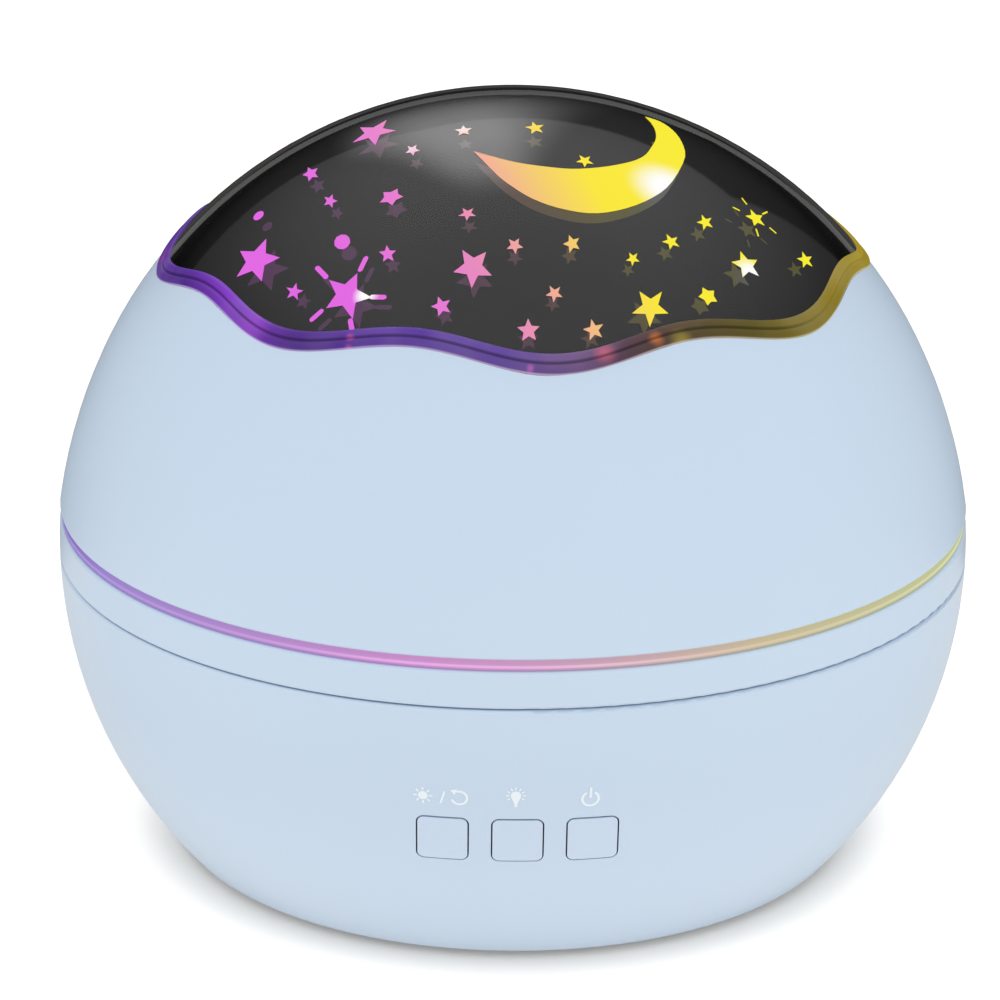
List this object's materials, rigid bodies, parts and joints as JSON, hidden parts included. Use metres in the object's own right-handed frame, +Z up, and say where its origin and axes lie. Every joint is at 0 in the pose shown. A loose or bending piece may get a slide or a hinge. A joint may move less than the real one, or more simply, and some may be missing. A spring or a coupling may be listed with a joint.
{
  "type": "star night light projector",
  "caption": "Ball-shaped night light: a bowl with push keys carries a turning dome whose clear wavy-edged window shows a black star film over coloured lamps.",
  "frame": {"origin": "centre of the ball's footprint, on the surface that the rubber feet stand on", "axes": "+Z up along the dome's turning axis, -Y out of the front where the keys are, +X to the right seen from the front"},
  "size_m": [0.13, 0.13, 0.1081],
  "materials": {
    "shell_blue": "soft gloss",
    "key_blue": "soft gloss",
    "clear_plastic": "clear gloss",
    "cover_plastic": "frosted clear",
    "film_black": "gloss, printed black with clear stars",
    "ring_glow": "translucent, lit from inside",
    "inner_white": "moulded",
    "foot_rubber": "matt",
    "gear_acetal": "moulded",
    "gearbox_plastic": "moulded",
    "motor_steel": "plated",
    "shaft_steel": "ground",
    "screw_steel": "zinc plated",
    "board_white": "solder mask",
    "board_green": "solder mask",
    "chip_black": "moulded",
    "lamp_resin": "clear resin",
    "contact_nickel": "nickel plated"
  },
  "bodies": {
    "base": {"base_shell": "shell_blue", "rubber_feet": "foot_rubber", "case_screws": "screw_steel", "deck": "shell_blue", "roller_pins": "shaft_steel", "gearbox": "gearbox_plastic", "motor_can": "motor_steel", "motor_screws": "screw_steel", "lamp_holder": "inner_white", "lamp_board": "board_white", "lamp_screws": "screw_steel", "lamps": "lamp_resin", "lamp_cover": "cover_plastic", "cell_box": "inner_white", "cell_contacts": "contact_nickel", "box_screws": "screw_steel", "main_board": "board_green", "board_screws": "screw_steel", "board_parts": "chip_black", "usb_socket": "contact_nickel", "key_board": "board_green", "push_switches": "chip_black"},
    "dome": {"turntable": "inner_white", "light_ring": "ring_glow", "upper_shell": "shell_blue", "clear_dome": "clear_plastic", "star_film": "film_black", "film_clip": "inner_white", "rotor_screws": "screw_steel"},
    "door": {"cell_door": "shell_blue"},
    "pinion": {"drive_pinion": "gear_acetal", "motor_shaft": "shaft_steel"},
    "roller_right": {"roller_right": "gear_acetal"},
    "roller_left": {"roller_left": "gear_acetal"},
    "roller_front": {"roller_front": "gear_acetal"},
    "key_left": {"key_left": "key_blue", "plunger_left": "chip_black"},
    "key_middle": {"key_middle": "key_blue", "plunger_middle": "chip_black"},
    "key_right": {"key_right": "key_blue", "plunger_right": "chip_black"}
  },
  "joints": [
    {"name": "dome_spin", "type": "hinge", "parent": "base", "child": "dome", "pos_m": [0, 0, 0.04994], "axis": [0, 0, 1], "continuous": true},
    {"name": "pinion_spin", "type": "hinge", "parent": "base", "child": "pinion", "pos_m": [0, 0.0232, 0.04994], "axis": [0, 0, 1], "continuous": true},
    {"name": "roller_right_spin", "type": "hinge", "parent": "base", "child": "roller_right", "pos_m": [0.04664, 0, 0.04664], "axis": [1, 0, 0], "continuous": true},
    {"name": "roller_left_spin", "type": "hinge", "parent": "base", "child": "roller_left", "pos_m": [-0.02332, 0.04039, 0.04664], "axis": [-0.5, 0.866, 0], "continuous": true},
    {"name": "roller_front_spin", "type": "hinge", "parent": "base", "child": "roller_front", "pos_m": [-0.02332, -0.04039, 0.04664], "axis": [-0.5, -0.866, 0], "continuous": true},
    {"name": "door_hinge", "type": "hinge", "parent": "base", "child": "door", "pos_m": [0, 0.02675, 0.001], "axis": [1, 0, 0], "range_deg": [0, 45]},
    {"name": "key_left_press", "type": "slide", "parent": "base", "child": "key_left", "axis": [0, 1, 0], "range_m": [0, 0.0008], "stiffness_N_per_m": 1200, "springref_m": -0.0004},
    {"name": "key_middle_press", "type": "slide", "parent": "base", "child": "key_middle", "axis": [0, 1, 0], "range_m": [0, 0.0008], "stiffness_N_per_m": 1200, "springref_m": -0.0004},
    {"name": "key_right_press", "type": "slide", "parent": "base", "child": "key_right", "axis": [0, 1, 0], "range_m": [0, 0.0008], "stiffness_N_per_m": 1200, "springref_m": -0.0004}
  ],
  "couplings": [
    {"joint": "pinion_spin", "follows": "dome_spin", "ratio": 5.1429},
    {"joint": "roller_right_spin", "follows": "dome_spin", "ratio": -15.546},
    {"joint": "roller_left_spin", "follows": "dome_spin", "ratio": -15.546},
    {"joint": "roller_front_spin", "follows": "dome_spin", "ratio": -15.546}
  ]
}
